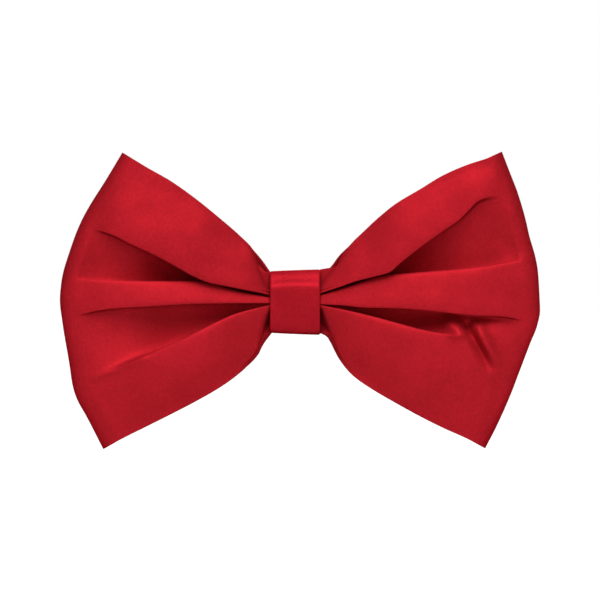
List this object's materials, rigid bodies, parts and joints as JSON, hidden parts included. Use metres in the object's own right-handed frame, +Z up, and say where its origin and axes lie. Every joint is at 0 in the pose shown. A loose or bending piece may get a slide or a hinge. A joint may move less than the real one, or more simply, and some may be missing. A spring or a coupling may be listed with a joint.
{
  "type": "pre-tied bow tie",
  "caption": "Pleated satin bow tie: a gathered ribbon bow and wrapped knot on a slide-adjustable neck band that fastens at the back with a hook and eye.",
  "frame": {"origin": "centre of the knot's flat back face, which lies on the collar", "axes": "+Z up as worn, +X across the bow, -Y the way the bow faces, so the neck is on the +Y side"},
  "size_m": [0.1194, 0.1297, 0.0756],
  "materials": {
    "bow_satin": "satin weave, soft sheen",
    "bow_lining": "plain weave",
    "interlining": "unbleached felted cloth",
    "thread": "twisted polyester thread",
    "knot_satin": "satin weave, soft sheen",
    "band_satin": "satin weave, pressed flat",
    "clasp_metal": "nickel-plated, polished"
  },
  "bodies": {
    "bow_and_band": {"bow_face_cloth": "bow_satin", "bow_interlining": "interlining", "bow_lining_cloth": "bow_lining", "pleat_tack_thread": "thread", "knot_cloth": "knot_satin", "knot_interlining": "interlining", "knot_closing_stitches": "thread", "neck_band": "band_satin", "neck_band_core": "interlining", "eye_end_stitches": "thread"},
    "hook": {"clasp_hook": "clasp_metal"},
    "eye": {"clasp_eye": "clasp_metal"},
    "slider": {"slide_adjuster": "clasp_metal", "tail_end_stitches": "thread", "band_tail": "band_satin"}
  },
  "joints": [
    {"name": "hook_swing", "type": "hinge", "parent": "bow_and_band", "child": "hook", "pos_m": [0.012, 0.11018, 0], "axis": [0, 0, 1], "range_deg": [-10, 10]},
    {"name": "eye_swing", "type": "hinge", "parent": "bow_and_band", "child": "eye", "pos_m": [-0.012, 0.11018, 0], "axis": [0, 0, 1], "range_deg": [-10, 10]},
    {"name": "slider_slide", "type": "hinge", "parent": "bow_and_band", "child": "slider", "pos_m": [0, 0.054, 0], "axis": [0, 0, 1], "range_deg": [-70, 25], "deforming": ["band_tail"]}
  ],
  "couplings": [
    {"joint": "eye_swing", "follows": "hook_swing", "ratio": -1}
  ]
}
